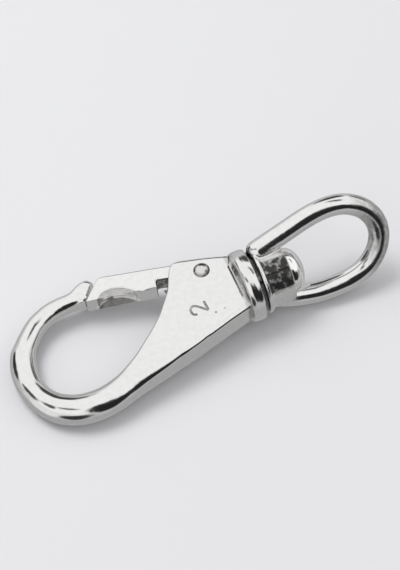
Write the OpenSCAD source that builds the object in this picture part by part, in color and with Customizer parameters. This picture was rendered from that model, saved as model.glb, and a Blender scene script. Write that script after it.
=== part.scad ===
// Swivel snap hook: a cast hook with a sprung gate, and an eye that turns on a rivet.
// Built flat in its own plane first (X along the swivel axis toward the eye, Y toward
// the gate side, Z square to the flat cheeks), then laid down the way it rests on a table.

/* [Hook body] */
// Thickness of the flat body over its two cheeks
body_t = 6.6; // [6.2:0.1:7.2]
// Rounding of the cheek edges
cheek_edge = 0.9; // [0.5:0.1:1.1]
// Width of the slot that the gate works in
slot_w = 4.6; // [4.5:0.05:4.8]
// Largest radius of the round collar at the swivel
collar_r = 8.3; // [8.0:0.1:8.6]
// Radius of the neck, where the flat body meets the collar
neck_r = 7.4; // [7.0:0.1:7.6]
// Width of the collar along the swivel axis
collar_w = 3.3; // [2.8:0.1:3.6]

/* [Gate] */
// Thickness of the gate lever
gate_t = 4.4; // [4.0:0.05:4.4]
// Radius of the gate's round end at the pivot
gate_hub_r = 3.1; // [2.8:0.1:3.2]
// Gap between the gate's tip and the nose of the hook
nose_gap = 0.16; // [0.1:0.02:0.3]

/* [Gate pin] */
// Diameter of the pin that the gate turns on
pin_d = 2.6; // [2.2:0.1:3.0]
// Diameter of the pin's round heads
pin_head_d = 3.7; // [3.4:0.1:4.2]
// Height of each pin head
pin_head_h = 0.55; // [0.4:0.05:0.8]

/* [Gate spring] */
// Mean diameter of the coil
spring_d = 3.0; // [2.6:0.1:3.2]
// Diameter of the spring wire
spring_wire = 0.5; // [0.4:0.05:0.6]
// Number of turns
spring_turns = 6; // [4:0.5:7]

/* [Swivel] */
// Diameter of the swivel rivet's shank
shank_d = 4.4; // [4.0:0.1:4.8]
// Diameter of the rivet's domed head
dome_d = 10.3; // [9.6:0.1:10.4]
// Height of the domed head
dome_h = 3.7; // [3.2:0.1:4.0]
// Gap between the collar and the eye's flange
swivel_gap = 0.7; // [0.5:0.05:0.9]
// Radial clearance between the eye's bore and the shank
swivel_play = 0.05; // [0.03:0.01:0.08]

/* [Eye] */
// Diameter of the round bar of the eye
eye_wire = 4.8; // [4.4:0.1:5.0]
// Radius of the flange next to the collar
flange_r = 7.6; // [7.2:0.1:7.8]
// Radius of the eye's boss
boss_r = 6.7; // [6.5:0.1:6.9]
// Lean of the ring in its own plane, off the swivel axis
eye_lean = 5.4; // [0:0.2:6]
// Turn of the eye about the swivel axis as it lies (its near side down)
eye_turn = 58; // [30:1:60]

/* [How it lies] */
// Slope of the swivel axis above the table
lie_slope = 5.6; // [5.2:0.1:6.0]
// Roll of the body toward its spine
lie_roll = 1.3; // [0.8:0.1:1.8]

/* [Hidden] */

collar_x1 = -2.4;                       // collar face on the eye's side
collar_x0 = collar_x1 - collar_w;       // where the collar meets the neck
pivot = [-12.5, 6.1];                   // gate pin, in the hook's plane
slot_x1 = pivot[0] + gate_hub_r + 0.4;  // inner end of the gate slot
spring_foot = [-18.3, 1.8];             // where the spring stands on the slot floor
spring_dir = [-0.33, 0.944];            // its direction, toward the gate
spring_len = 5.7;                       // its length with the gate shut
flange_x0 = collar_x1 + swivel_gap;
boss_x1 = 5.5;                          // the boss's face inside the eye
dome_x0 = boss_x1 + 0.06;

// The hook's outline as a run of cross-sections from the nose, round the bow and up the
// body to the neck: [inner x, inner y, outer x, outer y, thickness, corner radius].
stations = [
    [-39.0, 10.3, -36.0, 14.6, 4.5, 1.2],
    [-39.8, 10.2, -37.2, 15.8, 4.6, 1.5],
    [-40.8, 10.3, -39.4, 15.5, 4.6, 1.7],
    [-42.3, 10.3, -41.8, 14.4, 4.6, 1.9],
    [-44.6, 10.1, -44.8, 14.3, 4.5, 2.0],
    [-46.6,  9.7, -47.8, 13.9, 4.5, 2.1],
    [-48.4,  8.9, -50.5, 12.9, 4.5, 2.2],
    [-50.0,  8.0, -52.9, 11.5, 4.6, 2.2],
    [-51.5,  6.5, -55.2,  9.4, 4.8, 2.3],
    [-53.1,  4.4, -57.4,  7.0, 5.1, 2.5],
    [-53.9,  2.6, -59.1,  4.8, 5.6, 2.75],
    [-54.4,  0.3, -60.2,  1.7, 5.9, 2.9],
    [-54.6, -1.7, -60.6, -1.7, 6.0, 2.95],
    [-54.6, -3.7, -60.4, -4.7, 6.0, 2.9],
    [-54.1, -5.5, -59.7, -7.3, 6.0, 2.9],
    [-53.3, -7.2, -58.6, -10.1, 6.1, 2.95],
    [-51.9, -8.9, -56.7, -13.1, 6.3, 3.1],
    [-50.3, -10.0, -54.3, -15.3, 6.6, 3.25],
    [-48.5, -10.8, -50.8, -17.1, 6.7, 3.3],
    [-46.2, -11.2, -46.8, -17.9, 6.7, 3.3],
    [-43.7, -11.2, -42.9, -17.8, 6.7, 3.3],
    [-41.4, -10.9, -39.6, -17.0, 6.7, 2.9],
    [-38.8, -10.3, -36.6, -16.0, 6.6, 2.1],
    [-36.4, -9.3, -33.8, -15.1, 6.6, 1.4],
    [-33.6, -7.7, -30.6, -14.2, 6.6, 1.0],
    [-30.9, -5.6, -27.4, -13.3, 6.6, 0.8],
    [-28.2, -3.3, -24.8, -12.5, 6.6, 0.8],
    [-25.6, -0.8, -22.8, -12.0, 6.6, 0.8],
    [-23.2,  2.2, -21.0, -11.5, 6.6, 0.8],
    [-21.6,  4.4, -19.6, -11.1, 6.6, 0.8],
    [-20.3,  7.2, -18.6, -10.8, 6.6, 0.8],
    [-19.0,  9.8, -17.4, -10.4, 6.6, 0.8],
    [-17.8, 10.8, -16.6, -10.2, 6.6, 0.8],
    [-16.4, 10.8, -15.8, -10.0, 6.6, 0.8],
    [-14.5, 10.3, -14.4, -9.6, 6.6, 0.8],
    [-10.0,  9.0, -10.0, -8.3, 6.6, 0.8],
    [ -5.4,  7.4,  -5.4, -7.1, 6.6, 0.8],
    [ -4.4,  7.0,  -4.4, -6.9, 6.6, 0.8]];

// One half of the eye's centre line, from the boss to its far end.
eye_line = [[0.8, 6.2], [3, 6.95], [6, 7.85], [11.5, 9.1], [16.5, 9.6], [20.3, 9.3],
            [23.6, 8.1], [26.5, 5.7], [28.2, 2.7], [28.7, 0]];
root_shift = 1.3;                       // both legs stand this far to one side at the boss

function mix(a, b, t) = a * (1 - t) + b * t;
// A smooth curve through a list of points: p1 to p2, with p0 and p3 on either side.
function smooth(p0, p1, p2, p3, t) =
    0.5 * (2 * p1 + (p2 - p0) * t + (2 * p0 - 5 * p1 + 4 * p2 - p3) * t * t
           + (3 * p1 - p0 - 3 * p2 + p3) * t * t * t);
function curve(p, k) = let (n = len(p)) concat([for (i = [0 : n - 2]) for (j = [0 : k - 1])
    smooth(p[max(i - 1, 0)], p[i], p[i + 1], p[min(i + 2, n - 1)], j / k)], [p[n - 1]]);

// A closed skin over a list of rings that all have the same number of points.
module skin(rings) {
    n = len(rings);
    m = len(rings[0]);
    polyhedron(
        points = [for (r = rings) for (p = r) p],
        faces = concat(
            [[for (j = [0 : m - 1]) j]],
            [for (i = [0 : n - 2]) for (j = [0 : m - 1])
                [i * m + j, (i + 1) * m + j, (i + 1) * m + (j + 1) % m, i * m + (j + 1) % m]],
            [[for (j = [m - 1 : -1 : 0]) (n - 1) * m + j]]),
        convexity = 6);
}

// One cross-section of the casting: a rounded rectangle from its inner to its outer point.
function section(s, q = 5) =
    let (a = [s[0], s[1]], b = [s[2], s[3]], w = norm(b - a), u = (b - a) / w,
         h = s[4] / 2 + (s[4] == 6.6 ? (body_t - 6.6) / 2 : 0),
         r = min(s[5] == 0.8 ? cheek_edge : s[5], min(w, 2 * h) / 2 - 0.02))
    [for (c = [3 : -1 : 0]) for (i = [q : -1 : 0])
        let (ang = c * 90 + 90 * i / q,
             cx = (c == 0 || c == 3) ? w - r : r, cz = (c < 2) ? h - r : r - h,
             x = cx + r * cos(ang), z = cz + r * sin(ang), p = a + u * x)
        [p[0], p[1], z]];

module about_x() { rotate([0, 90, 0]) children(); }

// The collar: a round barrel with softened rims, standing on the neck.
module collar() {
    r = collar_r;
    w = collar_w;
    translate([collar_x0, 0, 0]) about_x() rotate_extrude($fn = 96)
        polygon([[0, 0.2], [neck_r - 0.2, 0.2], [neck_r + 0.35, 0.0], [r - 0.35, 0.3],
                 [r - 0.08, 0.75], [r, w * 0.4], [r, w * 0.55], [r - 0.1, w - 0.75],
                 [r - 0.35, w - 0.25], [r - 0.8, w], [0, w]]);
    translate([collar_x0 - 0.9, 0, 0]) about_x() cylinder(r1 = neck_r - 1.6, r2 = neck_r - 0.15, h = 1.2, $fn = 96);
}

module hook_body() {
    color([0.80, 0.80, 0.79]) lay() difference() {
        union() {
            skin([for (s = curve(stations, 2)) section(s)]);
            collar();
        }
        // slot for the gate and its spring, open at the gate side and toward the bow
        translate([0, 0, -slot_w / 2]) linear_extrude(slot_w) polygon([
            [-30.5, -2.45], spring_foot, [-16.8, 2.32], [-15.0, 1.9], [-12.5, 1.7],
            [slot_x1, 3.0], [slot_x1, 12], [-17, 14], [-30.5, 14]]);
        // seat of the gate pin through both cheeks
        translate([pivot[0], pivot[1], -10]) cylinder(d = pin_d + 0.04, h = 20, $fn = 48);
        // seat of the swivel rivet through the neck, with its tail countersunk in the slot
        translate([slot_x1 - 1, 0, 0]) about_x() cylinder(d = shank_d + 0.04, h = 20, $fn = 64);
        translate([slot_x1 - 0.01, 0, 0]) about_x()
            cylinder(r1 = shank_d / 2 + 0.83, r2 = shank_d / 2 + 0.02, h = 1.01, $fn = 64);
        // the nose is cut off square to the gate's tip
        linear_extrude(20, center = true) nose_cut(0, 6);
    }
}

// Everything on the gate's side of the slanting seam at the nose.
module nose_cut(gap, reach) {
    a = [-39.4, 10.0];
    u = [0.684, 0.729];
    v = [0.729, -0.684];
    polygon([a - 0.4 * u + gap * v, a + 5.2 * u + gap * v, a + max(9, reach) * u + 3.2 * v,
             a + max(9, reach) * u + reach * v, a - reach * u + reach * v, a - reach * u + (gap + 0.6) * v,
             a - 2.2 * u + gap * v]);
}

module gate() {
    color([0.82, 0.82, 0.81]) lay() difference() {
        union() {
            translate([0, 0, -gate_t / 2]) linear_extrude(gate_t) intersection() {
                polygon([
                    [-39.05, 10.05], [-38.6, 9.8], [-37.4, 9.7], [-36.6, 9.9], [-35.9, 10.5],
                    [-35.1, 11.0], [-34.1, 11.25], [-33.0, 11.3], [-31.8, 11.05], [-30.5, 10.5],
                    [-29.3, 9.7], [-28.2, 8.7], [-27.3, 7.75], [-26.6, 7.3], [-25.7, 7.1],
                    [-24.4, 7.05], [-23.6, 6.95], [-23.15, 6.7], [-23.0, 7.2], [-22.85, 8.2],
                    [-22.4, 8.65], [-21.8, 8.6], [-17.4, 7.5], [-16.2, 6.6], [-15.6, 6.1],
                    [-12.5, 6.1], [-12.5, 9.2], [-13.6, 9.5], [-15.0, 10.05], [-17.0, 10.7],
                    [-18.3, 11.0], [-22.9, 12.15], [-27.3, 13.2], [-30.7, 14.0], [-32.9, 14.55],
                    [-33.8, 14.7], [-34.5, 14.6], [-35.3, 14.1], [-36.0, 13.6], [-36.6, 13.0]]);
                nose_cut(nose_gap, 60);
            }
            translate([pivot[0], pivot[1], -gate_t / 2]) cylinder(r = gate_hub_r, h = gate_t, $fn = 64);
        }
        translate([pivot[0], pivot[1], -10]) cylinder(d = pin_d + 0.1, h = 20, $fn = 48);
    }
}

module gate_pin() {
    color([0.72, 0.71, 0.69]) lay() translate([pivot[0], pivot[1], 0]) {
        h = body_t / 2 + 0.01;
        r = pin_head_d / 2;
        rotate_extrude($fn = 64) polygon([[0, -h - pin_head_h], [r * 0.62, -h - pin_head_h * 0.94],
            [r * 0.88, -h - pin_head_h * 0.7], [r, -h - pin_head_h * 0.3], [r, -h], [pin_d / 2, -h],
            [pin_d / 2, h], [r, h], [r, h + pin_head_h * 0.3], [r * 0.88, h + pin_head_h * 0.7],
            [r * 0.62, h + pin_head_h * 0.94], [0, h + pin_head_h]]);
    }
}

module gate_spring() {
    rc = spring_d / 2;
    rw = spring_wire / 2;
    n = ceil(spring_turns * 14);
    h = spring_len - 2 * rw - 0.06;
    color([0.55, 0.55, 0.54]) lay()
        translate([spring_foot[0], spring_foot[1], 0]) rotate([0, 0, atan2(spring_dir[1], spring_dir[0])])
        about_x() translate([0, 0, rw + 0.04]) skin([for (i = [0 : n])
            let (a = 360 * spring_turns * i / n, z = h * i / n)
            [for (j = [7 : -1 : 0]) let (b = 360 * j / 8)
                [(rc + rw * cos(b)) * cos(a), (rc + rw * cos(b)) * sin(a), z + rw * sin(b)]]]);
}

module swivel_rivet() {
    r = dome_d / 2;
    s = shank_d / 2;
    color([0.84, 0.84, 0.83]) lay() about_x() rotate_extrude($fn = 96)
        polygon(concat(
            [[0, slot_x1 + 0.02], [s + 0.78, slot_x1 + 0.02], [s, slot_x1 + 0.98], [s, dome_x0], [r, dome_x0]],
            [for (a = [0 : 6 : 84]) [r * cos(a), dome_x0 + 0.5 + (dome_h - 0.5) * sin(a)]],
            [[0, dome_x0 + dome_h]]));
}

// One ring of the eye's round bar: centre p, direction t, radius r.
function ring(p, t, r) = let (nn = [-t[1], t[0]])
    [for (j = [0 : 15]) let (b = 360 * (j + 0.5) / 16)
        [p[0] + r * cos(b) * nn[0], p[1] + r * cos(b) * nn[1], r * sin(b)]];

module swivel_eye() {
    half = curve(eye_line, 3);
    k = len(half);
    even = concat(half, [for (i = [k - 2 : -1 : 0]) [half[i][0], -half[i][1]]]);
    line = [for (p = even) [p[0], p[1] + root_shift * pow(max(0, 1 - p[0] / 12), 2)]];
    n = len(line);
    dir = [for (i = [0 : n - 1]) let (d = line[min(i + 1, n - 1)] - line[max(i - 1, 0)]) d / norm(d)];
    r = eye_wire / 2;
    color([0.80, 0.80, 0.79]) lay() rotate([eye_turn, 0, 0]) difference() {
        union() {
            about_x() rotate_extrude($fn = 96) polygon([
                [0, flange_x0], [flange_r - 0.5, flange_x0], [flange_r - 0.12, flange_x0 + 0.25],
                [flange_r, flange_x0 + 0.6], [flange_r - 0.1, flange_x0 + 1.0], [boss_r + 0.3, flange_x0 + 1.6],
                [boss_r, flange_x0 + 2.3], [boss_r - 0.1, boss_x1 - 1.1], [boss_r - 0.35, boss_x1 - 0.35],
                [boss_r - 0.75, boss_x1], [0, boss_x1]]);
            // the two legs and the round end, one bar with rounded roots
            rotate([0, 0, eye_lean]) skin(concat(
                [for (a = [78, 52, 26]) ring(line[0] - r * sin(a) * dir[0], dir[0], r * cos(a))],
                [for (i = [0 : n - 1]) ring(line[i], dir[i], r)],
                [for (a = [26, 52, 78]) ring(line[n - 1] + r * sin(a) * dir[n - 1], dir[n - 1], r * cos(a))]));
        }
        translate([-10, 0, 0]) about_x() cylinder(d = shank_d + 2 * swivel_play, h = 30, $fn = 64);
        // room for the rivet's domed head between the legs
        translate([boss_x1, 0, 0]) about_x() cylinder(d = dome_d + 0.5, h = dome_h + 0.6, $fn = 96);
    }
}

// Lays the hook down on its collar and bow: the swivel axis slopes up toward the eye and
// the body leans a little toward its spine. The origin is under the middle of it.
module lay() {
    translate([14.83, 1.07, 8.697]) rotate([lie_roll, -lie_slope, 0]) children();
}

hook_body();
gate();
gate_pin();
gate_spring();
swivel_rivet();
swivel_eye();
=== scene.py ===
import bpy, math
import numpy as np
from mathutils import Vector, Matrix


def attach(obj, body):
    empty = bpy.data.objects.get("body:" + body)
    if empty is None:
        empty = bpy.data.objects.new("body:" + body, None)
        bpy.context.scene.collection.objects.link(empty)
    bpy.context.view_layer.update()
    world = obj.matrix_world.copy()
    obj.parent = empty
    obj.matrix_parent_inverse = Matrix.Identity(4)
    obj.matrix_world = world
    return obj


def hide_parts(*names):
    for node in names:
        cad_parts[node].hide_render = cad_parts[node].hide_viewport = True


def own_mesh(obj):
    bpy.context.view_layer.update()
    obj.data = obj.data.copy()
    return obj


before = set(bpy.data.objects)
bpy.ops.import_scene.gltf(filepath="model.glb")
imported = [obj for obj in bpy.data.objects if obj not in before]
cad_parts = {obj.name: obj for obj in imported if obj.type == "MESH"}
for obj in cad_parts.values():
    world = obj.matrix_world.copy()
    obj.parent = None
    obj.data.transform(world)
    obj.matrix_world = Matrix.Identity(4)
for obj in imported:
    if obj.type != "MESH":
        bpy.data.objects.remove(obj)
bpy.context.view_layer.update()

# ----------------------------------------------------------------------------- frame
# The hook's own plane (mm: X swivel axis, Y gate side, Z across the cheeks) to the row frame (m).
A, B = math.radians(1.3), math.radians(-5.6)
ROT = (np.array([[math.cos(B), 0, math.sin(B)], [0, 1, 0], [-math.sin(B), 0, math.cos(B)]])
       @ np.array([[1, 0, 0], [0, math.cos(A), -math.sin(A)], [0, math.sin(A), math.cos(A)]]))
OFF = np.array([14.83, 1.07, 8.697])
EYE_TURN = math.radians(58)
RT = np.array([[1, 0, 0], [0, math.cos(EYE_TURN), -math.sin(EYE_TURN)], [0, math.sin(EYE_TURN), math.cos(EYE_TURN)]])


def unlay_matrix(turn=False):
    """Row frame (m) to the hook's own plane (mm), as a 4x4."""
    m = np.eye(4)
    r = ROT @ RT if turn else ROT
    m[:3, :3] = r.T * 1000.0
    m[:3, 3] = -(r.T @ OFF)
    return m


# ----------------------------------------------------------------------------- mesh tools
def mesh_object(name, verts, faces):
    me = bpy.data.meshes.new(name)
    me.from_pydata([tuple(map(float, v)) for v in verts], [], [tuple(map(int, f)) for f in faces])
    me.validate(clean_customdata=False)
    me.update()
    ob = bpy.data.objects.new(name, me)
    bpy.context.scene.collection.objects.link(ob)
    return ob


def catmull(p, k, closed=False):
    p = np.asarray(p, float)
    n = len(p)
    out = []
    t = np.arange(k)[:, None] / k
    rng = range(n) if closed else range(n - 1)
    for i in rng:
        if closed:
            p0, p1, p2, p3 = p[(i - 1) % n], p[i], p[(i + 1) % n], p[(i + 2) % n]
        else:
            p0, p1, p2, p3 = p[max(i - 1, 0)], p[i], p[i + 1], p[min(i + 2, n - 1)]
        out.append(0.5 * (2 * p1 + (p2 - p0) * t + (2 * p0 - 5 * p1 + 4 * p2 - p3) * t * t
                          + (3 * p1 - p0 - 3 * p2 + p3) * t ** 3))
    out = np.vstack(out)
    return out if closed else np.vstack([out, p[-1:]])


def skin(rings, close_caps=True):
    """Vertices and faces of a closed tube through equal rings; each cap shrinks to its centre in steps."""
    rings = [np.asarray(r, float) for r in rings]
    m = len(rings[0])
    if close_caps:
        a, b = rings[0], rings[-1]
        ca, cb = a.mean(0), b.mean(0)
        rings = [ca + (a - ca) * s for s in (0.25, 0.5, 0.75)] + rings + [cb + (b - cb) * s for s in (0.75, 0.5, 0.25)]
    v = np.vstack(rings)
    n = len(rings)
    f = []
    for i in range(n - 1):
        for j in range(m):
            f.append((i * m + j, i * m + (j + 1) % m, (i + 1) * m + (j + 1) % m, (i + 1) * m + j))
    f.append(tuple(range(m - 1, -1, -1)))
    f.append(tuple((n - 1) * m + j for j in range(m)))
    return v, f


def lathe(profile, n=160):
    """A closed solid turned about X from (radius, x) points that start and end on the axis."""
    pr = np.asarray(profile, float)
    inner = pr[1:-1]
    ang = np.arange(n) * 2 * math.pi / n
    v = [(pr[0][1], 0, 0)]
    for r, x in inner:
        for a in ang:
            v.append((x, r * math.cos(a), r * math.sin(a)))
    v.append((pr[-1][1], 0, 0))
    last = len(v) - 1
    k = len(inner)
    f = []
    for j in range(n):
        f.append((0, 1 + (j + 1) % n, 1 + j))
        f.append((last, 1 + (k - 1) * n + j, 1 + (k - 1) * n + (j + 1) % n))
    for i in range(k - 1):
        for j in range(n):
            f.append((1 + i * n + j, 1 + i * n + (j + 1) % n, 1 + (i + 1) * n + (j + 1) % n, 1 + (i + 1) * n + j))
    return np.array(v), f


def rounded(points, seg=6):
    """A profile with each corner rounded: points are (r, x) or (r, x, corner radius)."""
    out = []
    n = len(points)
    for i, q in enumerate(points):
        p = np.array(q[:2], float)
        rad = q[2] if len(q) > 2 else 0
        if rad <= 0 or i in (0, n - 1):
            out.append(p)
            continue
        a = np.array(points[i - 1][:2], float) - p
        b = np.array(points[i + 1][:2], float) - p
        la, lb = np.linalg.norm(a), np.linalg.norm(b)
        a, b = a / la, b / lb
        ang = math.acos(max(-1, min(1, float(a @ b))))
        d = min(rad / math.tan(ang / 2), la * 0.49, lb * 0.49)
        p0, p1 = p + a * d, p + b * d
        for s in range(seg + 1):
            t = s / seg
            out.append((1 - t) ** 2 * p0 + 2 * t * (1 - t) * p + t * t * p1)
    return np.array(out)


def densify(pr, step):
    out = [pr[0]]
    for a, b in zip(pr[:-1], pr[1:]):
        k = max(1, int(math.ceil(np.linalg.norm(b - a) / step)))
        for s in range(1, k + 1):
            out.append(a + (b - a) * s / k)
    return np.array(out)


def prism(outline, z0, z1, inset=None):
    """A closed plate over a counter-clockwise outline; inset is a list of (inset, z) steps for soft edges."""
    o = np.asarray(outline, float)
    n = len(o)
    t = np.roll(o, -1, 0) - np.roll(o, 1, 0)
    t /= np.linalg.norm(t, axis=1)[:, None]
    nrm = np.stack([-t[:, 1], t[:, 0]], 1)
    steps = inset or [(0, z0), (0, z1)]
    v = np.vstack([np.column_stack([o + nrm * d, np.full(n, z)]) for d, z in steps])
    f = []
    k = len(steps)
    for i in range(k - 1):
        for j in range(n):
            f.append((i * n + j, i * n + (j + 1) % n, (i + 1) * n + (j + 1) % n, (i + 1) * n + j))
    f.append(tuple(range(n - 1, -1, -1)))
    f.append(tuple((k - 1) * n + j for j in range(n)))
    return v, f


def boolean(ob, other, op):
    m = ob.modifiers.new("b", "BOOLEAN")
    m.operation = op
    m.solver = "EXACT"
    m.object = other
    bake(ob)
    bpy.data.objects.remove(other)


def bake(ob):
    deps = bpy.context.evaluated_depsgraph_get()
    me = bpy.data.meshes.new_from_object(ob.evaluated_get(deps))
    ob.modifiers.clear()
    ob.data = me


def soften(ob, angle=32, weighted=True):
    me = ob.data
    me.shade_smooth()
    me.set_sharp_from_angle(angle=math.radians(angle))
    if weighted:
        m = ob.modifiers.new("w", "WEIGHTED_NORMAL")
        m.keep_sharp = True
        m.mode = "FACE_AREA_WITH_ANGLE"
        bake(ob)


def place(ob, turn=False):
    me = ob.data
    m = np.eye(4)
    r = ROT @ RT if turn else ROT
    m[:3, :3] = r * 0.001
    m[:3, 3] = OFF * 0.001
    me.transform(Matrix(m.tolist()))
    me.update()


def remesh(ob, voxel, smooth=6, lam=0.5, mu=-0.52):
    """Joins overlapping closed shells into one cast surface and softens its inner corners (mm)."""
    m = ob.modifiers.new("r", "REMESH")
    m.mode = "VOXEL"
    m.voxel_size = voxel
    m.adaptivity = 0.0
    bake(ob)
    me = ob.data
    n = len(me.vertices)
    co = np.zeros(n * 3)
    me.vertices.foreach_get("co", co)
    co = co.reshape(-1, 3)
    ed = np.zeros(len(me.edges) * 2, np.int64)
    me.edges.foreach_get("vertices", ed)
    ed = ed.reshape(-1, 2)
    deg = np.bincount(ed.ravel(), minlength=n)[:, None]
    for i in range(smooth):
        for k in (lam, mu):
            s = np.stack([np.bincount(ed[:, 0], co[ed[:, 1], c], n) + np.bincount(ed[:, 1], co[ed[:, 0], c], n)
                          for c in range(3)], 1)
            co += k * (s / deg - co)
    me.vertices.foreach_set("co", co.ravel())
    me.update()
    me.shade_smooth()
    return co


def join(obs, name):
    base = obs[0]
    import bmesh
    bm = bmesh.new()
    for o in obs:
        bm.from_mesh(o.data)
    me = bpy.data.meshes.new(name)
    bm.to_mesh(me)
    bm.free()
    for o in obs:
        bpy.data.objects.remove(o)
    ob = bpy.data.objects.new(name, me)
    bpy.context.scene.collection.objects.link(ob)
    return ob


def attribute(ob, name, values):
    a = ob.data.attributes.get(name) or ob.data.attributes.new(name, "FLOAT", "POINT")
    a.data.foreach_set("value", np.asarray(values, np.float32))


def coords(ob):
    co = np.zeros(len(ob.data.vertices) * 3)
    ob.data.vertices.foreach_get("co", co)
    return co.reshape(-1, 3)


def ramp(x, a, b):
    t = np.clip((x - a) / (b - a), 0, 1)
    return t * t * (3 - 2 * t)


# ----------------------------------------------------------------------------- hook body
# Cross-sections from the nose, round the bow and up to the neck:
# [inner x, inner y, outer x, outer y, thickness, corner radius], in mm.
STATIONS = [
    [-39.0, 10.3, -36.0, 14.6, 4.5, 1.2], [-39.8, 10.2, -37.2, 15.8, 4.6, 1.5],
    [-40.8, 10.3, -39.4, 15.5, 4.6, 1.7], [-42.3, 10.3, -41.8, 14.4, 4.6, 1.9],
    [-44.6, 10.1, -44.8, 14.3, 4.5, 2.0], [-46.6, 9.7, -47.8, 13.9, 4.5, 2.1],
    [-48.4, 8.9, -50.5, 12.9, 4.5, 2.2], [-50.0, 8.0, -52.9, 11.5, 4.6, 2.2],
    [-51.5, 6.5, -55.2, 9.4, 4.8, 2.3], [-53.1, 4.4, -57.4, 7.0, 5.1, 2.5],
    [-53.9, 2.6, -59.1, 4.8, 5.6, 2.75], [-54.4, 0.3, -60.2, 1.7, 5.9, 2.9],
    [-54.6, -1.7, -60.6, -1.7, 6.0, 2.95], [-54.6, -3.7, -60.4, -4.7, 6.0, 2.9],
    [-54.1, -5.5, -59.7, -7.3, 6.0, 2.9], [-53.3, -7.2, -58.6, -10.1, 6.1, 2.95],
    [-51.9, -8.9, -56.7, -13.1, 6.3, 3.1], [-50.3, -10.0, -54.3, -15.3, 6.6, 3.25],
    [-48.5, -10.8, -50.8, -17.1, 6.7, 3.3], [-46.2, -11.2, -46.8, -17.9, 6.7, 3.3],
    [-43.7, -11.2, -42.9, -17.8, 6.7, 3.3], [-41.4, -10.9, -39.6, -17.0, 6.7, 2.9],
    [-38.8, -10.3, -36.6, -16.0, 6.6, 2.1], [-36.4, -9.3, -33.8, -15.1, 6.6, 1.4],
    [-33.6, -7.7, -30.6, -14.2, 6.6, 1.0], [-30.9, -5.6, -27.4, -13.3, 6.6, 0.8],
    [-28.2, -3.3, -24.8, -12.5, 6.6, 0.8], [-25.6, -0.8, -22.8, -12.0, 6.6, 0.8],
    [-23.2, 2.2, -21.0, -11.5, 6.6, 0.8], [-21.6, 4.4, -19.6, -11.1, 6.6, 0.8],
    [-20.3, 7.2, -18.6, -10.8, 6.6, 0.8], [-19.0, 9.8, -17.4, -10.4, 6.6, 0.8],
    [-17.8, 10.8, -16.6, -10.2, 6.6, 0.8], [-16.4, 10.8, -15.8, -10.0, 6.6, 0.8],
    [-14.5, 10.3, -14.4, -9.6, 6.6, 0.8], [-10.0, 9.0, -10.0, -8.3, 6.6, 0.8],
    [-5.4, 7.4, -5.4, -7.1, 6.6, 0.8], [-4.4, 7.0, -4.4, -6.9, 6.6, 0.8]]
# the spine's edge is rounder than the bow side's, most of all where it runs out into the bow
SPINE_EDGE = {-39.6: 3.0, -36.6: 2.8, -33.8: 2.4, -30.6: 2.0, -27.4: 1.7, -24.8: 1.45, -22.8: 1.3, -21.0: 1.2}
STATIONS = [r + [SPINE_EDGE.get(r[2], 1.15 if r[5] == 0.8 else r[5])] for r in STATIONS]
PIVOT = np.array([-12.5, 6.1])
SLOT_X1 = -9.0
FOOT = np.array([-18.3, 1.8])
SPRING_DIR = np.array([-0.33, 0.944]) / math.hypot(0.33, 0.944)


def section(s, q=9, flat=14, side=5):
    a, b = np.array(s[:2]), np.array(s[2:4])
    w = np.linalg.norm(b - a)
    u = (b - a) / w
    h = s[4] / 2
    lim = min(w, 2 * h) / 2 - 0.01
    ri, ro = min(s[5], lim), min(s[6], lim)
    pts = []
    for c, (cx, cz, r) in enumerate([(w - ro, h - ro, ro), (ri, h - ri, ri), (ri, ri - h, ri), (w - ro, ro - h, ro)]):
        for i in range(q + 1):
            g = math.radians(90 * c + 90 * i / q)
            pts.append((cx + r * math.cos(g), cz + r * math.sin(g)))
        nx = [(ri, h), (0, ri - h), (w - ro, -h), (w, h - ro)][c]
        k = flat if c in (0, 2) else side
        p0 = pts[-1]
        for i in range(1, k):
            pts.append((p0[0] + (nx[0] - p0[0]) * i / k, p0[1] + (nx[1] - p0[1]) * i / k))
    return np.array([[a[0] + u[0] * x, a[1] + u[1] * x, z] for x, z in pts])


def nose_cut(gap, reach, z):
    a = np.array([-39.4, 10.0])
    u, v = np.array([0.684, 0.729]), np.array([0.729, -0.684])
    m = max(9, reach)
    o = [a - 0.4 * u + gap * v, a + 5.2 * u + gap * v, a + m * u + 3.2 * v, a + m * u + reach * v,
         a - reach * u + reach * v, a - reach * u + (gap + 0.6) * v, a - 2.2 * u + gap * v]
    o = o[::-1]
    return prism(o, -z, z)


def make_body():
    rings = [section(s) for s in catmull(STATIONS, 7)]
    ob = mesh_object("hook_body_cast", *skin(rings))
    fix_normals(ob)
    slot = prism([(-30.5, -2.45), tuple(FOOT), (-16.8, 2.32), (-15.0, 1.9), (-12.5, 1.7), (SLOT_X1, 3.0),
                  (SLOT_X1, 12), (-17, 14), (-30.5, 14)], -2.3, 2.3)
    collar = rounded([(0, -6.7), (5.7, -6.7, 0.25), (6.75, -6.0, 0.4), (7.3, -5.75, 0.15), (8.05, -5.62, 0.3),
                      (8.3, -4.7, 0.7), (8.3, -3.5, 0.7), (8.15, -2.55, 0.35), (7.3, -2.4, 0.2), (0, -2.4)])
    co = mesh_object("collar", *lathe(densify(collar, 0.5), 180))
    fix_normals(co)
    boolean(ob, cutter("slot", *slot), "DIFFERENCE")
    boolean(ob, cutter("nose", *nose_cut(0, 6, 10)), "DIFFERENCE")
    ob = join([ob, co], "hook_body_cast")
    # bore for the swivel rivet, between the neck and the slot: built but not cut, it is removed again
    bore = mesh_object("bore", *lathe([(0, SLOT_X1 - 1), (2.22, SLOT_X1 - 1), (2.22, 2), (0, 2)], 96))
    remesh(ob, 0.2, 7)
    boolean(ob, bore, "DIFFERENCE") if False else bpy.data.objects.remove(bore)
    return ob


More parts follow.
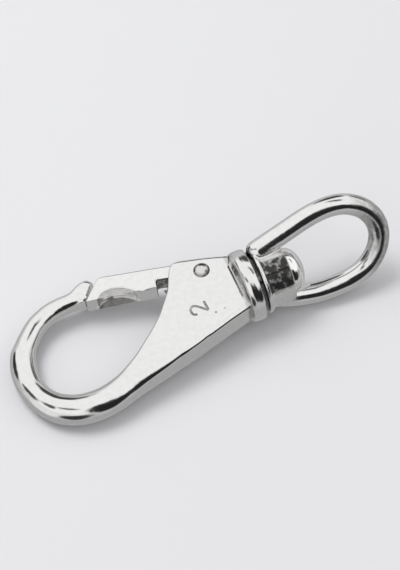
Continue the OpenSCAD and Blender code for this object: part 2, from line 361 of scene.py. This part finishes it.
def fix_normals(ob):
    import bmesh
    bm = bmesh.new()
    bm.from_mesh(ob.data)
    bmesh.ops.recalc_face_normals(bm, faces=bm.faces)
    bm.to_mesh(ob.data)
    bm.free()


def cutter(name, v, f):
    ob = mesh_object(name, v, f)
    fix_normals(ob)
    return ob


def tube(path, r, sides=24, up=(0, 0, 1), closed_ends=True):
    p = np.asarray(path, float)
    d = np.gradient(p, axis=0)
    d /= np.linalg.norm(d, axis=1)[:, None]
    up = np.asarray(up, float)
    rings = []
    rr = np.broadcast_to(np.asarray(r, float), (len(p),))
    for c, t, q in zip(p, d, rr):
        s = np.cross(t, up)
        s /= np.linalg.norm(s)
        w = np.cross(s, t)
        g = np.arange(sides) * 2 * math.pi / sides
        rings.append(c + q * (np.cos(g)[:, None] * s + np.sin(g)[:, None] * w))
    return skin(rings, close_caps=False)


def stamp(ob):
    """The plain size numeral and three small casting pits in the upper cheek (mm)."""
    c, ux, uy = np.array(STAMP_AT), np.array(STAMP_RIGHT), np.array(STAMP_UP)
    # stroke of a plain figure, in a box 1 wide and 1.4 high
    top = [(0.06, 1.02), (0.10, 1.20), (0.26, 1.36), (0.50, 1.40), (0.74, 1.35), (0.90, 1.18), (0.93, 0.98),
           (0.82, 0.76), (0.60, 0.54), (0.32, 0.30), (0.10, 0.10), (0.02, 0.0)]
    foot = [(0.02, 0.0), (0.5, 0.0), (0.98, 0.0)]
    for run in (catmull(top, 6), catmull(foot, 8)):
        p2 = c + np.outer(run[:, 0] - 0.5, ux) * STAMP_SIZE + np.outer(run[:, 1] - 0.7, uy) * STAMP_SIZE
        p3 = np.column_stack([p2, np.full(len(p2), 3.3 + 0.10)])
        boolean(ob, cutter("stroke", *tube(p3, 0.30, 12)), "DIFFERENCE")
    for x, y, r in PITS:
        g = bpy.data.meshes.new("pit")
        import bmesh
        bm = bmesh.new()
        bmesh.ops.create_icosphere(bm, subdivisions=3, radius=r)
        bmesh.ops.translate(bm, verts=bm.verts, vec=(x, y, 3.3 + r * 0.35))
        bm.to_mesh(g)
        bm.free()
        o = bpy.data.objects.new("pit", g)
        bpy.context.scene.collection.objects.link(o)
        boolean(ob, o, "DIFFERENCE")


# ----------------------------------------------------------------------------- gate
def make_gate():
    low = [(-39.1, 10.06), (-38.6, 9.8), (-37.4, 9.7), (-36.6, 9.9), (-35.9, 10.5), (-35.1, 11.0), (-34.1, 11.25),
           (-33.0, 11.3), (-31.8, 11.05), (-30.5, 10.5), (-29.3, 9.7), (-28.2, 8.7), (-27.3, 7.75), (-26.6, 7.3),
           (-25.7, 7.1), (-24.4, 7.05), (-23.6, 6.95), (-23.15, 6.75), (-23.0, 7.2), (-22.85, 8.2), (-22.4, 8.65),
           (-21.8, 8.6), (-19.6, 8.05), (-17.4, 7.5), (-16.2, 6.6), (-15.6, 6.1)]
    hub = [(PIVOT[0] + 3.1 * math.cos(math.radians(a)), PIVOT[1] + 3.1 * math.sin(math.radians(a)))
           for a in range(188, 448, 8)]
    top = [(-12.6, 9.2), (-13.6, 9.5), (-15.0, 10.05), (-17.0, 10.7), (-18.3, 11.0), (-22.9, 12.15), (-27.3, 13.2),
           (-30.7, 14.0), (-32.9, 14.55), (-33.8, 14.7), (-34.5, 14.6), (-35.3, 14.1)]
    out = np.vstack([catmull(low, 5)[:-1], hub, catmull(top, 5), [(-35.5, 13.9), (-36.5, 12.85), (-37.5, 11.8), (-38.5, 10.72)]])
    h, r = 2.2, 0.32
    steps = [(r * (1 - math.cos(math.radians(g))), -h + r * (1 - math.sin(math.radians(g)))) for g in (90, 60, 30, 0)]
    steps += [(0, z) for z in (-1.2, 0, 1.2)] + [(a, -z) for a, z in steps[::-1]]
    ob = mesh_object("gate_lever", *prism(out, 0, 0, inset=steps))
    fix_normals(ob)
    bore = mesh_object("bore", *lathe([(0, -4), (1.35, -4), (1.35, 4), (0, 4)], 96))
    me = bore.data
    me.transform(Matrix.Translation((PIVOT[0], PIVOT[1], 0)) @ Matrix.Rotation(math.radians(-90), 4, "Y"))
    fix_normals(bore)
    boolean(ob, bore, "DIFFERENCE")
    remesh(ob, 0.1, 4)
    return ob


# ----------------------------------------------------------------------------- pin, spring, rivet
def make_pin():
    h, r = 3.31, 1.85
    pr = [(0, -h - 0.55), (0.9, -h - 0.5), (1.5, -h - 0.32, 0.3), (r, -h - 0.08, 0.08), (r, -h, 0.03), (1.3, -h), (1.3, h),
          (r, h, 0.03), (r, h + 0.08, 0.08), (1.5, h + 0.32, 0.3), (0.9, h + 0.5, 0.4), (0, h + 0.55)]
    ob = mesh_object("gate_pin_rivet", *lathe(rounded(pr, 8), 96))
    ob.data.transform(Matrix.Translation((PIVOT[0], PIVOT[1], 0)) @ Matrix.Rotation(math.radians(-90), 4, "Y"))
    fix_normals(ob)
    soften(ob, 50)
    return ob


def make_spring():
    rc, rw, turns, length = 1.5, 0.25, 6, 5.7
    n = turns * 36
    h = length - 2 * rw - 0.06
    p = []
    for i in range(n + 1):
        a = 2 * math.pi * turns * i / n
        z = i / n
        p.append((rc * math.cos(a), rc * math.sin(a), rw + 0.04 + h * z))
    v, f = tube(p, rw, 14)
    d = np.array([SPRING_DIR[0], SPRING_DIR[1], 0])
    s = np.array([-d[1], d[0], 0])
    m = np.stack([s, np.array([0, 0, 1]), d], 1)
    v = v @ m.T + np.array([FOOT[0], FOOT[1], 0])
    ob = mesh_object("gate_spring_coil", v, f)
    fix_normals(ob)
    ob.data.shade_smooth()
    return ob


def make_rivet():
    r, s, x0 = 5.15, 2.2, 5.56
    pr = [(0, SLOT_X1 + 0.02), (s + 0.78, SLOT_X1 + 0.02), (s, SLOT_X1 + 0.98), (s, x0), (r - 0.12, x0), (r, x0 + 0.12)]
    pr += [(r * math.cos(math.radians(a)), x0 + 0.5 + 3.2 * math.sin(math.radians(a))) for a in np.arange(0, 89, 2.5)]
    pr += [(0, x0 + 3.7)]
    ob = mesh_object("swivel_rivet_head", *lathe(np.array(pr), 192))
    fix_normals(ob)
    soften(ob, 40)
    return ob


# ----------------------------------------------------------------------------- eye
EYE_LINE = [[0.8, 6.2], [3, 6.95], [6, 7.85], [11.5, 9.1], [16.5, 9.6], [20.3, 9.3], [23.6, 8.1], [26.5, 5.7],
            [28.2, 2.7], [28.7, 0]]
ROOT_SHIFT = 1.3


def make_eye():
    half = catmull(EYE_LINE, 10)
    line = np.vstack([half, half[-2::-1] * [1, -1]])
    line[:, 1] += ROOT_SHIFT * np.clip(1 - line[:, 0] / 12, 0, 1) ** 2
    d = np.gradient(line, axis=0)
    d /= np.linalg.norm(d, axis=1)[:, None]
    r = 2.4
    ends = [(math.sin(math.radians(a)), math.cos(math.radians(a))) for a in (80, 65, 50, 35, 20)]
    pts = [line[0] - r * s * d[0] for s, c in ends] + list(line) + [line[-1] + r * s * d[-1] for s, c in ends[::-1]]
    rad = [r * c for s, c in ends] + [r] * len(line) + [r * c for s, c in ends[::-1]]
    dirs = [d[0]] * 5 + list(d) + [d[-1]] * 5
    rings = []
    g = np.arange(48) * 2 * math.pi / 48
    a = math.radians(5.4)
    lean = np.array([[math.cos(a), -math.sin(a), 0], [math.sin(a), math.cos(a), 0], [0, 0, 1]])
    for p, q, t in zip(pts, rad, dirs):
        s = np.array([-t[1], t[0], 0])
        ring = np.array([p[0], p[1], 0]) + q * (np.cos(g)[:, None] * s + np.sin(g)[:, None] * np.array([0, 0, 1]))
        rings.append(ring @ lean.T)
    bar = mesh_object("bar", *skin(rings))
    fix_normals(bar)
    boss = rounded([(0, -1.7), (7.15, -1.7), (7.6, -1.35, 0.4), (7.6, -0.85, 0.4), (6.95, -0.2, 0.6), (6.7, 0.6, 0.8),
                    (6.65, 4.3, 0.6), (6.45, 5.15, 0.4), (5.95, 5.5, 0.25), (0, 5.5)])
    bo = mesh_object("boss", *lathe(densify(boss, 0.5), 180))
    fix_normals(bo)
    ob = join([bo, bar], "swivel_eye_cast")
    # one cast surface, then the turned seat under the rivet's head and the bore
    m = ob.modifiers.new("r", "REMESH")
    m.mode = "VOXEL"
    m.voxel_size = 0.2
    bake(ob)
    seat = mesh_object("seat", *lathe([(0, 5.5), (5.4, 5.5), (5.4, 9.8), (0, 9.8)], 128))
    fix_normals(seat)
    boolean(ob, seat, "DIFFERENCE")
    bore = mesh_object("bore", *lathe([(0, -6), (2.25, -6), (2.25, 12), (0, 12)], 96))
    fix_normals(bore)
    boolean(ob, bore, "DIFFERENCE")
    remesh(ob, 0.15, 7)
    return ob


STAMP_AT, STAMP_RIGHT, STAMP_UP, STAMP_SIZE = (-16.8, -3.0), (-0.06, 1.0), (-1.0, -0.06), 2.6
PITS = [(-13.6, -5.4, 0.24), (-11.4, -5.2, 0.18), (-6.9, -2.9, 0.15)]
FLOOR_BELOW, WALL_LOW, WALL_HIGH = 0.46, 0.62, 1.10
# ovals in the tent: azimuth, elevation, half width, half height (degrees), turn, edge softness, brightness
WINDOWS = [
    (-75, 2, 26, 22, 0, 0.30, 0.95),        # bright left wall
    (56, 8, 20, 12, 0, 0.35, 0.34),         # low wall at the right front
    (120, 68, 40, 5.5, 0, 0.25, 0.10),      # roof seam, right
    (-62, 60, 25, 5.5, 0, 0.30, 0.14),      # roof seam, left
    (-90, 47, 15, 7, 150, 0.25, 0.10),
    (-106, 32, 9, 12, 30, 0.25, 0.08),      # doorway at the left back
    (-133, 11, 15, 16, 0, 0.20, 0.04),
    (124, 16, 14, 9, 0, 0.30, 0.14),        # dark gap at the right back
    (160, 28, 19, 16, 0, 0.20, 0.07),
    (-28, -4, 21, 17, 0, 0.20, 0.04),       # dark cloth low in front
    (36, 16, 13, 20, 0, 0.20, 0.05),
    (8, 26, 18, 39, 28, 0.12, 0.02),        # the opening in front
]
CAM_TARGET = (0.00101, 0.00537, 0.00795)

# ----------------------------------------------------------------------------- materials
def nodes_of(name):
    m = bpy.data.materials.new(name)
    m.use_nodes = True
    nt = m.node_tree
    nt.nodes.clear()
    out = nt.nodes.new("ShaderNodeOutputMaterial")
    b = nt.nodes.new("ShaderNodeBsdfPrincipled")
    nt.links.new(b.outputs[0], out.inputs[0])
    return m, nt, b


def noise(nt, coord, scale, detail=3, rough=0.5, dist=0.0, stretch=None):
    if stretch:
        mp = nt.nodes.new("ShaderNodeMapping")
        mp.inputs["Rotation"].default_value = stretch[1]
        mp.inputs["Scale"].default_value = stretch[0]
        nt.links.new(coord, mp.inputs[0])
        coord = mp.outputs[0]
    n = nt.nodes.new("ShaderNodeTexNoise")
    n.inputs["Scale"].default_value = scale
    n.inputs["Detail"].default_value = detail
    n.inputs["Roughness"].default_value = rough
    n.inputs["Distortion"].default_value = dist
    nt.links.new(coord, n.inputs["Vector"])
    return n.outputs["Fac"]


def math_node(nt, op, a, b=None, c=None, clamp=False):
    n = nt.nodes.new("ShaderNodeMath")
    n.operation = op
    n.use_clamp = clamp
    for i, v in enumerate((a, b, c)):
        if v is None:
            continue
        if isinstance(v, (int, float)):
            n.inputs[i].default_value = v
        else:
            nt.links.new(v, n.inputs[i])
    return n.outputs[0]


def color_ramp(nt, fac, stops):
    n = nt.nodes.new("ShaderNodeValToRGB")
    e = n.color_ramp.elements
    while len(e) < len(stops):
        e.new(0.5)
    for x, (p, c) in zip(e, stops):
        x.position = p
        x.color = (c[0], c[1], c[2], 1)
    nt.links.new(fac, n.inputs[0])
    return n.outputs[0]


def steel(name, base=(0.80, 0.795, 0.78), rough=0.10, wave=0.035, scratch=0.04, cast=False, grime=0.0):
    """Polished stainless: slow waviness from the casting, fine polishing scratches, small pits,
    and, where the vertex value "cast" says so, the rougher as-cast skin."""
    m, nt, b = nodes_of(name)
    tc = nt.nodes.new("ShaderNodeTexCoord")
    mp = nt.nodes.new("ShaderNodeMapping")
    mp.inputs["Scale"].default_value = (1000, 1000, 1000)
    nt.links.new(tc.outputs["Object"], mp.inputs[0])
    co = mp.outputs[0]
    slow = noise(nt, co, 0.35, 2, 0.45)
    fine = noise(nt, co, 2.2, 4, 0.6)
    scr = noise(nt, co, 1.0, 3, 0.65, stretch=((9.0, 0.5, 2.0), (0, 0, 0.5)))
    scr2 = noise(nt, co, 1.0, 3, 0.65, stretch=((0.6, 10.0, 2.0), (0, 0, -0.4)))
    blot = noise(nt, co, 0.9, 3, 0.6)
    b.inputs["Metallic"].default_value = 1.0
    d0, d1 = [c * 0.965 for c in base], [min(1, c * 1.01) for c in base]
    col = color_ramp(nt, blot, [(0.35, d0), (0.6, d1)])
    # a per-vertex value mixes in a mottled near-black colour: the cast skin's own dark tone and grime, and painted
    # shade and painted shadow in gaps, in the slot and in recesses
    at = nt.nodes.new("ShaderNodeAttribute")
    at.attribute_name = "grime_and_painted_shade"
    mix = nt.nodes.new("ShaderNodeMix")
    mix.data_type = "RGBA"
    mott = noise(nt, co, 0.75, 4, 0.6)
    mott = math_node(nt, "MULTIPLY_ADD", mott, 2.7, -0.5, clamp=True)
    mott = math_node(nt, "MULTIPLY", mott, at.outputs["Fac"], clamp=True)
    nt.links.new(mott, mix.inputs["Factor"])
    nt.links.new(col, mix.inputs["A"])
    mix.inputs["B"].default_value = (0.06, 0.058, 0.056, 1)
    nt.links.new(mix.outputs["Result"], b.inputs["Base Color"])
    # roughness: a little more on worn blotches, scratches and the cast skin
    r = math_node(nt, "MULTIPLY_ADD", blot, rough * 0.9, rough * 0.55)
    r = math_node(nt, "MULTIPLY_ADD", scr, 0.05, r)
    ca = nt.nodes.new("ShaderNodeAttribute")
    ca.attribute_name = "cast"
    r = math_node(nt, "MULTIPLY_ADD", ca.outputs["Fac"], 0.16, r)
    r = math_node(nt, "MULTIPLY_ADD", at.outputs["Fac"], 0.12, r, clamp=True)
    nt.links.new(r, b.inputs["Roughness"])
    # height in mm
    h = math_node(nt, "MULTIPLY", slow, wave)
    h = math_node(nt, "MULTIPLY_ADD", fine, 0.0012, h)
    h = math_node(nt, "MULTIPLY_ADD", scr, scratch * 0.05, h)
    h = math_node(nt, "MULTIPLY_ADD", scr2, scratch * 0.05, h)
    lumps = noise(nt, co, 1.1, 3, 0.6, 0.4)
    grain = noise(nt, co, 4.2, 2, 0.6)
    lg = math_node(nt, "MULTIPLY_ADD", grain, 0.22, lumps)
    lg = math_node(nt, "MULTIPLY", lg, ca.outputs["Fac"])
    h = math_node(nt, "MULTIPLY_ADD", lg, 0.16, h)
    bp = nt.nodes.new("ShaderNodeBump")
    bp.inputs["Strength"].default_value = 1.0
    bp.inputs["Distance"].default_value = 0.001
    nt.links.new(h, bp.inputs["Height"])
    nt.links.new(bp.outputs[0], b.inputs["Normal"])
    return m


def wire_steel(name):
    m, nt, b = nodes_of(name)
    tc = nt.nodes.new("ShaderNodeTexCoord")
    n = noise(nt, tc.outputs["Object"], 900, 3, 0.6)
    col = color_ramp(nt, n, [(0.35, (0.34, 0.33, 0.32)), (0.65, (0.62, 0.61, 0.59))])
    nt.links.new(col, b.inputs["Base Color"])
    b.inputs["Metallic"].default_value = 1.0
    r = math_node(nt, "MULTIPLY_ADD", n, 0.25, 0.2)
    nt.links.new(r, b.inputs["Roughness"])
    return m


# ----------------------------------------------------------------------------- build
def finish_piece(ob, body, node, mat, turn=False):
    ob.data.materials.clear()
    ob.data.materials.append(mat)
    place(ob, turn)
    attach(ob, body)
    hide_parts(node)
    return ob


# per-vertex values: cast for the rough skin, and a darkening that is partly the metal's own dark tone and partly
# painted shade
def dress(ob, cast=None, grime_and_painted_shade=None):
    n = len(ob.data.vertices)
    attribute(ob, "cast", np.zeros(n) if cast is None else cast)
    attribute(ob, "grime_and_painted_shade", np.zeros(n) if grime_and_painted_shade is None else grime_and_painted_shade)


body = make_body()
stamp(body)
body.data.shade_smooth()
body.data.set_sharp_from_angle(angle=math.radians(38))
c = coords(body)
# painted shade in the corner where the body's edges run into the collar's flange
grime_and_painted_shade = ramp(c[:, 0], -7.2, -6.3) * (1 - ramp(c[:, 0], -5.9, -5.4)) * ramp(np.hypot(c[:, 1], c[:, 2]), 5.8, 6.8) * 0.6
# painted shade inside the slot between the cheeks
painted_slot_shade = (np.abs(c[:, 2]) < 2.45) & (c[:, 0] > -28) & (c[:, 0] < -8.6) & (c[:, 1] > 1.0 - 0.32 * np.maximum(-19 - c[:, 0], 0))
painted_slot_shade &= ~((c[:, 0] < -18.5) & (c[:, 1] < 1.2))
grime_and_painted_shade = np.maximum(grime_and_painted_shade, 0.95 * painted_slot_shade)
# painted shadow in the gap under the swivel, and painted shade in the struck numeral and in the pits
grime_and_painted_shade = np.maximum(grime_and_painted_shade, 0.9 * ramp(c[:, 0], c[:, 0].max() - 0.45, c[:, 0].max() - 0.15))
sunk = (c[:, 2] > 2.85) & (c[:, 2] < 3.27) & (c[:, 0] > -19.2) & (c[:, 0] < -14.4) & (c[:, 1] > -5.2) & (c[:, 1] < -0.8)
for x, y, r in PITS:
    sunk |= (np.hypot(c[:, 0] - x, c[:, 1] - y) < r * 1.05) & (c[:, 2] > 2.7) & (c[:, 2] < 3.28)
grime_and_painted_shade = np.maximum(grime_and_painted_shade, 0.72 * sunk)
dress(body, cast=0.10 * ramp(c[:, 0], -6.0, -5.0), grime_and_painted_shade=grime_and_painted_shade)
gate = make_gate()
c = coords(gate)
# painted shade on the gate's edges where they lie in the slot between the cheeks
dress(gate, grime_and_painted_shade=0.9 * ((np.abs(c[:, 2]) < 2.02) & (c[:, 0] > -23.25)))
pin = make_pin()
c = coords(pin)
rr = np.hypot(c[:, 0] - PIVOT[0], c[:, 1] - PIVOT[1])
# painted shade round the rim of each pin head, where it meets the cheek
dress(pin, grime_and_painted_shade=1.0 * ramp(rr, 0.66 * rr.max(), 0.86 * rr.max()))
coil = make_spring()
rivet = make_rivet()
dress(rivet)
eye = make_eye()
c = coords(eye)
rad = np.hypot(c[:, 1], c[:, 2])
cast = (1 - ramp(c[:, 0], 5.2, 6.4)) * (0.15 + 0.85 * ramp(c[:, 0], -0.6, 0.6)) * (1 - 0.85 * ramp(rad, 7.0, 8.2))
phi = np.degrees(np.arctan2(c[:, 2], c[:, 1]))
wall = (1 - ramp(rad, 7.7, 8.3)) * ramp(c[:, 0], -0.9, -0.5) * (1 - ramp(c[:, 0], 5.0, 5.5)) * ramp(rad, 5.6, 6.2)
skin_dark = wall * ramp(phi, 26, 34) * (1 - ramp(phi, 92, 97))
dull = 0.45 * ramp(c[:, 0], 22.5, 26.5)
# painted shadow on the boss's end face, in the gap against the collar
gap = 0.9 * (1 - ramp(c[:, 0], -1.65, -1.35))
# the mould's parting line, a low ridge along the boss
lift = 0.17 * np.exp(-((phi - 56) / 1.8) ** 2) * wall
c[:, 1:] *= (1 + lift / np.maximum(rad, 1))[:, None]
eye.data.vertices.foreach_set("co", c.ravel())
eye.data.update()
dress(eye, cast=cast, grime_and_painted_shade=np.maximum(np.maximum(1.25 * skin_dark, dull), gap))

STEEL = steel("polished_stainless", base=(0.755, 0.75, 0.735), rough=0.09)
GATE = steel("polished_stainless_gate", base=(0.77, 0.765, 0.75), rough=0.10)
EYE = steel("stainless_cast_and_polished", base=(0.76, 0.755, 0.74), rough=0.10)
DOME = steel("mirror_stainless", base=(0.84, 0.835, 0.82), rough=0.06, wave=0.05)
PIN = steel("stainless_pin", base=(0.66, 0.65, 0.63), rough=0.14)
finish_piece(body, "root", "hook_body", STEEL)
finish_piece(gate, "gate", "gate", GATE)
finish_piece(pin, "root", "gate_pin", PIN)
finish_piece(coil, "root", "gate_spring", wire_steel("spring_wire"))
finish_piece(rivet, "root", "swivel_rivet", DOME)
finish_piece(eye, "eye", "swivel_eye", EYE, turn=True)
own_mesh(coil)

# ----------------------------------------------------------------------------- stage, light, camera
me = bpy.data.meshes.new("floor")
s = 3.0
me.from_pydata([(-s, -s, 0), (s, -s, 0), (s, s, 0), (-s, s, 0)], [], [(0, 1, 2, 3)])
floor = bpy.data.objects.new("floor", me)
bpy.context.scene.collection.objects.link(floor)
fm, fnt, fb = nodes_of("pale_floor")
fb.inputs["Base Color"].default_value = (0.62, 0.62, 0.63, 1)
fb.inputs["Roughness"].default_value = 0.75
fb.inputs["Specular IOR Level"].default_value = 0.2
me.materials.append(fm)

scene = bpy.context.scene
scene.view_settings.view_transform = "Standard"
scene.view_settings.look = "None"

# A white light tent with a dark opening in front (where the photographer stands), a dark seam
# round its roof and dimmer walls low down: the bright and black bands that polished steel shows.
world = bpy.data.worlds.new("studio")
scene.world = world
world.use_nodes = True
wn = world.node_tree
wn.nodes.clear()
wo = wn.nodes.new("ShaderNodeOutputWorld")
bg = wn.nodes.new("ShaderNodeBackground")
wn.links.new(bg.outputs[0], wo.inputs[0])
wc = wn.nodes.new("ShaderNodeTexCoord")
sx = wn.nodes.new("ShaderNodeSeparateXYZ")
wn.links.new(wc.outputs["Generated"], sx.inputs[0])
M = lambda op, a, b=None, c=None, clamp=False: math_node(wn, op, a, b, c, clamp)
neg_y = M("MULTIPLY", sx.outputs["Y"], -1.0)
azi = M("MULTIPLY", M("ARCTAN2", sx.outputs["X"], neg_y), 180 / math.pi)      # 0 in front, +90 to the right
elv = M("MULTIPLY", M("ARCSINE", sx.outputs["Z"]), 180 / math.pi)


ae = wn.nodes.new("ShaderNodeCombineXYZ")
wn.links.new(azi, ae.inputs[0])
wn.links.new(elv, ae.inputs[1])


def level(x, x0, x1, y0, y1):
    n = wn.nodes.new("ShaderNodeMapRange")
    n.interpolation_type = "SMOOTHSTEP"
    for k, v in (("From Min", x0), ("From Max", x1), ("To Min", y0), ("To Max", y1)):
        n.inputs[k].default_value = v
    wn.links.new(x, n.inputs["Value"])
    return n.outputs["Result"]


def window(under, az0, el0, ra, re, turn, soft, value):
    """A soft-edged oval of another brightness, in degrees of azimuth and elevation."""
    m = wn.nodes.new("ShaderNodeMapping")
    m.vector_type = "TEXTURE"
    m.inputs["Location"].default_value = (az0, el0, 0)
    m.inputs["Rotation"].default_value = (0, 0, math.radians(turn))
    m.inputs["Scale"].default_value = (ra, re, 1)
    wn.links.new(ae.outputs[0], m.inputs["Vector"])
    d = wn.nodes.new("ShaderNodeVectorMath")
    d.operation = "LENGTH"
    wn.links.new(m.outputs[0], d.inputs[0])
    w = level(d.outputs["Value"], 1 - soft, 1 + soft, 1.0, 0.0)
    mix = wn.nodes.new("ShaderNodeMix")
    wn.links.new(w, mix.inputs["Factor"])
    wn.links.new(under, mix.inputs["A"])
    mix.inputs["B"].default_value = value
    return mix.outputs["Result"]


light = M("ADD", level(elv, -40, 0, FLOOR_BELOW, WALL_LOW), level(elv, 4, 30, 0.0, WALL_HIGH - WALL_LOW))
for args in WINDOWS:
    light = window(light, *args)
tint = wn.nodes.new("ShaderNodeCombineXYZ")
wn.links.new(light, tint.inputs[0])
wn.links.new(light, tint.inputs[1])
wn.links.new(M("MULTIPLY", light, 1.015), tint.inputs[2])
wn.links.new(tint.outputs[0], bg.inputs["Color"])
bg.inputs["Strength"].default_value = 1.0

floor.visible_glossy = False        # the tent's own lower half stands for the table in the polish
sun = bpy.data.lights.new("overhead", "AREA")
sun.shape = "DISK"
sun.size = 0.55
sun.energy = 6.0
lamp = bpy.data.objects.new("overhead", sun)
scene.collection.objects.link(lamp)
lamp.location = (-0.28, 0.36, 0.95)
lamp.rotation_euler = Vector((-0.28, 0.36, 0.95)).to_track_quat("Z", "Y").to_euler()
lamp.visible_glossy = False

cam = bpy.data.cameras.new("camera")
cam.sensor_fit = "HORIZONTAL"
cam.sensor_width = 36
cam.lens = 36 * 1687 / 400
cam.clip_start = 0.01
camera = bpy.data.objects.new("camera", cam)
scene.collection.objects.link(camera)
az, el, dist = math.radians(-21.5), math.radians(55), 0.38
back = Vector((math.sin(az) * math.cos(el), -math.cos(az) * math.cos(el), math.sin(el)))
target = Vector(CAM_TARGET)
camera.location = target + back * dist
camera.rotation_euler = (-back).to_track_quat("-Z", "Y").to_euler()
scene.camera = camera
